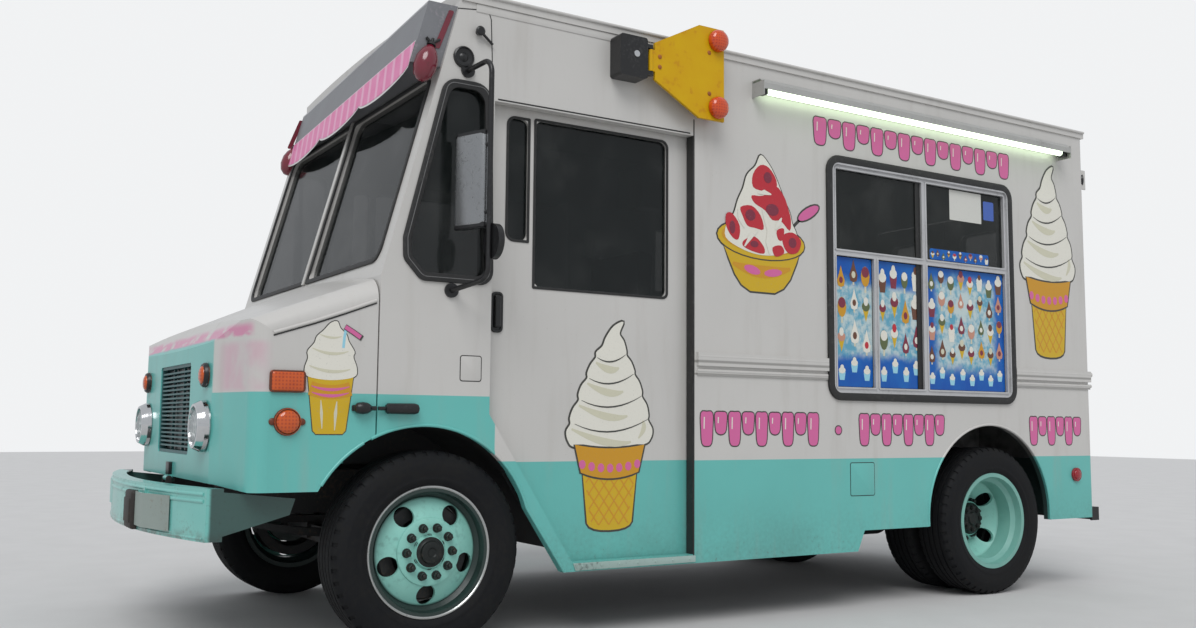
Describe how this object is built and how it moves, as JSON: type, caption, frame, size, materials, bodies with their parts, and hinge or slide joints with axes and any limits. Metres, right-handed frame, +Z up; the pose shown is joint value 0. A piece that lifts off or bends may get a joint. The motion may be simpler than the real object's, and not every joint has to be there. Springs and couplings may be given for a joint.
{
  "type": "step van ice cream truck",
  "caption": "Step van ice cream truck with a tilting nose, sliding cab doors, serving windows, a swing-out road sign, twin rear wheels and a fitted galley.",
  "frame": {"origin": "on the ground under the middle of the truck's box", "axes": "+X to the truck's left side, +Y to its rear, +Z up"},
  "size_m": [2.664, 5.3258, 2.7919],
  "materials": {
    "body_paint": "semi-gloss white coach paint",
    "turquoise_paint": "semi-gloss turquoise paint",
    "grille_paint": "dark teal paint",
    "chassis_black": "dull black chassis paint",
    "engine_iron": "rough cast",
    "window_glass": "clear glass",
    "window_alloy": "satin",
    "chrome_trim": "bright",
    "amber_lens": "moulded amber lens",
    "red_lens": "moulded red lens",
    "mirror_black": "black enamel",
    "visor_grey": "grey paint",
    "hood_alloy": "painted sheet",
    "sign_yellow": "yellow enamel",
    "stainless": "brushed",
    "deck_plate": "worn tread plate",
    "dash_grey": "grained",
    "seat_vinyl": "grained vinyl",
    "menu_print": "printed sheet",
    "tyre": "worn tread"
  },
  "bodies": {
    "truck": {"cab_front": "body_paint", "cab_glass": "window_glass", "dash": "dash_grey", "door_tracks": "window_alloy", "driveline": "chassis_black", "driver_seat": "seat_vinyl", "engine": "engine_iron", "engine_cover": "dash_grey", "floor": "deck_plate", "front_axle": "chassis_black", "front_bumper": "turquoise_paint", "fuel_tank": "chassis_black", "galley": "stainless", "ladder_frame": "chassis_black", "lamp_hoods": "hood_alloy", "leaf_springs": "chassis_black", "left_cab_side": "body_paint", "left_side": "body_paint", "menu_boards": "menu_print", "mirrors": "mirror_black", "rear_axle": "chassis_black", "rear_bumper": "chassis_black", "rear_frame": "body_paint", "right_cab_side": "body_paint", "right_side": "body_paint", "roof": "body_paint", "screen_visor": "visor_grey", "seat_base": "chassis_black", "service_glass": "window_glass", "service_windows": "window_alloy", "sign_bracket": "mirror_black", "soft_serve_machine": "stainless", "tail_lamps": "red_lens", "wheel_housings": "chassis_black"},
    "nose": {"nose": "body_paint", "grille": "grille_paint", "headlamps": "chrome_trim", "nose_lamps": "amber_lens"},
    "left_door": {"left_door": "body_paint", "left_door_glass": "window_glass"},
    "right_door": {"right_door": "body_paint", "right_door_glass": "window_glass"},
    "left_rear_door": {"left_rear_door": "body_paint", "left_rear_door_glass": "window_glass"},
    "right_rear_door": {"right_rear_door": "body_paint", "right_rear_door_glass": "window_glass"},
    "swing_sign": {"swing_sign": "sign_yellow"},
    "left_knuckle": {"left_knuckle": "chassis_black"},
    "right_knuckle": {"right_knuckle": "chassis_black"},
    "left_front_wheel": {"left_front_wheel": "turquoise_paint", "left_front_tyre": "tyre"},
    "right_front_wheel": {"right_front_wheel": "turquoise_paint", "right_front_tyre": "tyre"},
    "left_rear_wheels": {"left_rear_wheels": "turquoise_paint", "left_rear_tyres": "tyre"},
    "right_rear_wheels": {"right_rear_wheels": "turquoise_paint", "right_rear_tyres": "tyre"},
    "steering_wheel": {"steering_wheel": "dash_grey"}
  },
  "joints": [
    {"name": "nose_tilt", "type": "hinge", "parent": "truck", "child": "nose", "pos_m": [0, -2.477, 0.666], "axis": [1, 0, 0], "range_deg": [0, 65]},
    {"name": "left_door_slide", "type": "slide", "parent": "truck", "child": "left_door", "axis": [0, 1, 0], "range_m": [0, 0.8]},
    {"name": "right_door_slide", "type": "slide", "parent": "truck", "child": "right_door", "axis": [0, 1, 0], "range_m": [0, 0.8]},
    {"name": "left_rear_door_swing", "type": "hinge", "parent": "truck", "child": "left_rear_door", "pos_m": [0.626, 2.609, 1.55], "axis": [0, 0, -1], "range_deg": [0, 170]},
    {"name": "right_rear_door_swing", "type": "hinge", "parent": "truck", "child": "right_rear_door", "pos_m": [-0.626, 2.609, 1.55], "axis": [0, 0, 1], "range_deg": [0, 170]},
    {"name": "sign_swing", "type": "hinge", "parent": "truck", "child": "swing_sign", "pos_m": [1.124, -0.676, 2.572], "axis": [0, 0, -1], "range_deg": [0, 90]},
    {"name": "left_steer", "type": "hinge", "parent": "truck", "child": "left_knuckle", "pos_m": [0.8, -1.66, 0.403], "axis": [0, 0, 1], "range_deg": [-30, 30]},
    {"name": "right_steer", "type": "hinge", "parent": "truck", "child": "right_knuckle", "pos_m": [-0.8, -1.66, 0.403], "axis": [0, 0, 1], "range_deg": [-30, 30]},
    {"name": "left_front_spin", "type": "hinge", "parent": "left_knuckle", "child": "left_front_wheel", "pos_m": [0.915, -1.66, 0.403], "axis": [1, 0, 0], "continuous": true},
    {"name": "right_front_spin", "type": "hinge", "parent": "right_knuckle", "child": "right_front_wheel", "pos_m": [-0.915, -1.66, 0.403], "axis": [1, 0, 0], "continuous": true},
    {"name": "left_rear_spin", "type": "hinge", "parent": "truck", "child": "left_rear_wheels", "pos_m": [0.7975, 1.718, 0.403], "axis": [1, 0, 0], "continuous": true},
    {"name": "right_rear_spin", "type": "hinge", "parent": "truck", "child": "right_rear_wheels", "pos_m": [-0.7975, 1.718, 0.403], "axis": [1, 0, 0], "continuous": true},
    {"name": "steering_wheel_turn", "type": "hinge", "parent": "truck", "child": "steering_wheel", "pos_m": [0.6, -1.24, 1.31], "axis": [0, 0.5017, 0.865], "range_deg": [-360, 360]}
  ],
  "couplings": [
    {"joint": "right_steer", "follows": "left_steer", "ratio": 1},
    {"joint": "steering_wheel_turn", "follows": "left_steer", "ratio": 12}
  ]
}
